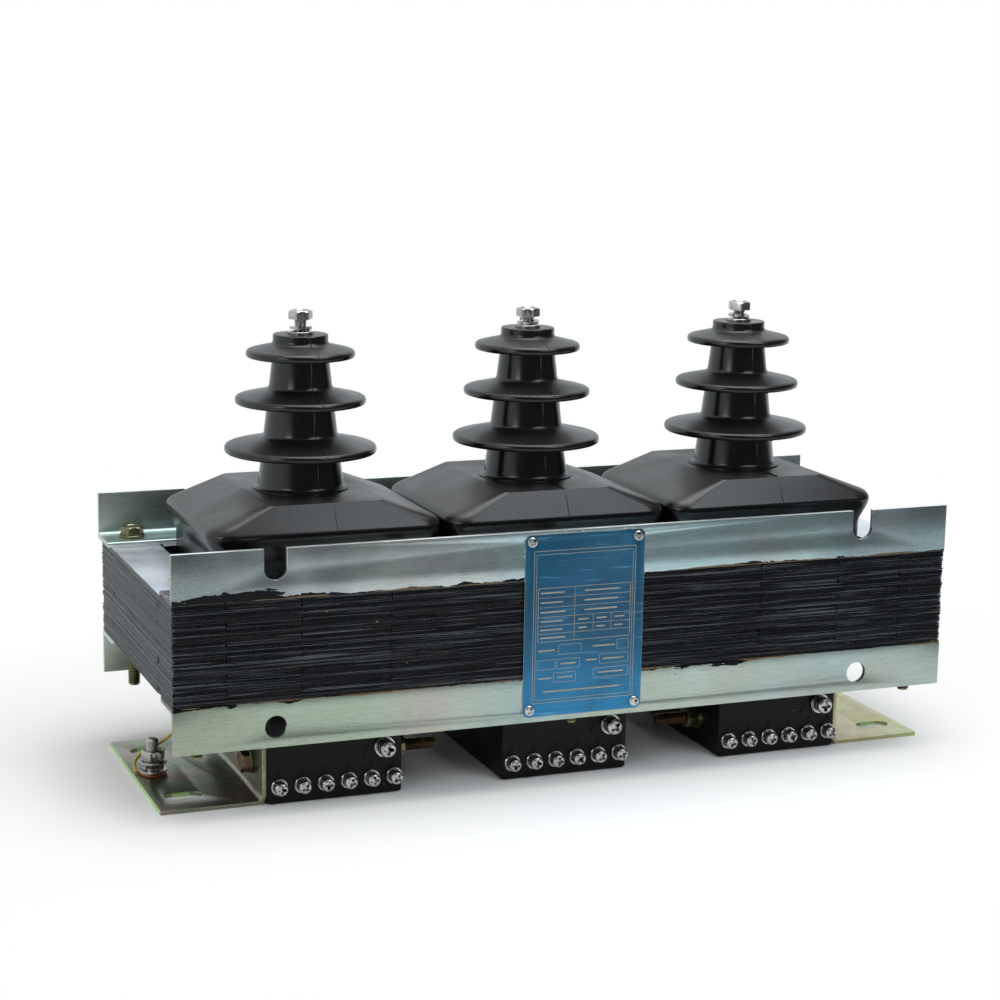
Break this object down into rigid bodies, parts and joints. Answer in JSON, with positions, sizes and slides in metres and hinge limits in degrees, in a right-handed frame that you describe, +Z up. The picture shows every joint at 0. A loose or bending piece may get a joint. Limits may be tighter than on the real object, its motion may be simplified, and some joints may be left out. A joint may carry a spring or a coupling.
{
  "type": "three-phase voltage transformer",
  "caption": "Cast-resin three-phase voltage transformer: ribbed bushings over a flat laminated core clamped between steel angles, with screw terminals below and slotted feet.",
  "frame": {"origin": "on the ground, midway between the slotted feet", "axes": "+X along the core, to the right as seen from the rating plate; +Y to the rear; +Z up through the bushings"},
  "size_m": [0.514, 0.1968, 0.2883],
  "materials": {
    "plated_steel": "satin",
    "core_steel": "semi-matt black varnish",
    "cast_resin": "satin to gloss",
    "yellow_zinc": "passivated",
    "stainless": "bright",
    "brass": "turned",
    "copper": "bare",
    "winding_former": "matt",
    "wire_sheath": "satin",
    "plate_blue": "printed satin"
  },
  "bodies": {
    "root": {"clamp_bolts": "yellow_zinc", "clamp_nuts": "yellow_zinc", "clamp_washers": "yellow_zinc", "earth_nut": "yellow_zinc", "earth_spring_washer": "yellow_zinc", "earth_stud": "yellow_zinc", "earth_washers": "yellow_zinc", "earth_wire": "wire_sheath", "earth_wire_loops": "copper", "foot_bolt_nuts": "yellow_zinc", "foot_bolt_spring_washers": "yellow_zinc", "foot_bolt_washers": "yellow_zinc", "foot_bolts": "yellow_zinc", "front_bottom_angle": "plated_steel", "front_top_angle": "plated_steel", "front_yoke": "core_steel", "high_voltage_bolts": "stainless", "high_voltage_conductors": "brass", "high_voltage_spring_washers": "stainless", "high_voltage_washers": "stainless", "left_bushing": "cast_resin", "left_casting": "cast_resin", "left_end_limb": "core_steel", "left_foot": "plated_steel", "left_limb": "core_steel", "left_primary_winding": "copper", "left_secondary_winding": "copper", "left_winding_former": "winding_former", "middle_bushing": "cast_resin", "middle_casting": "cast_resin", "middle_limb": "core_steel", "middle_primary_winding": "copper", "middle_secondary_winding": "copper", "middle_winding_former": "winding_former", "neutral_inserts": "brass", "neutral_screws": "stainless", "neutral_washers": "stainless", "rating_plate": "plate_blue", "rating_plate_rivets": "stainless", "rear_bottom_angle": "plated_steel", "rear_top_angle": "plated_steel", "rear_yoke": "core_steel", "right_bushing": "cast_resin", "right_casting": "cast_resin", "right_end_limb": "core_steel", "right_foot": "plated_steel", "right_limb": "core_steel", "right_primary_winding": "copper", "right_secondary_winding": "copper", "right_winding_former": "winding_former", "terminal_inserts": "brass", "terminal_screws": "stainless", "terminal_washers": "stainless"}
  },
  "joints": []
}
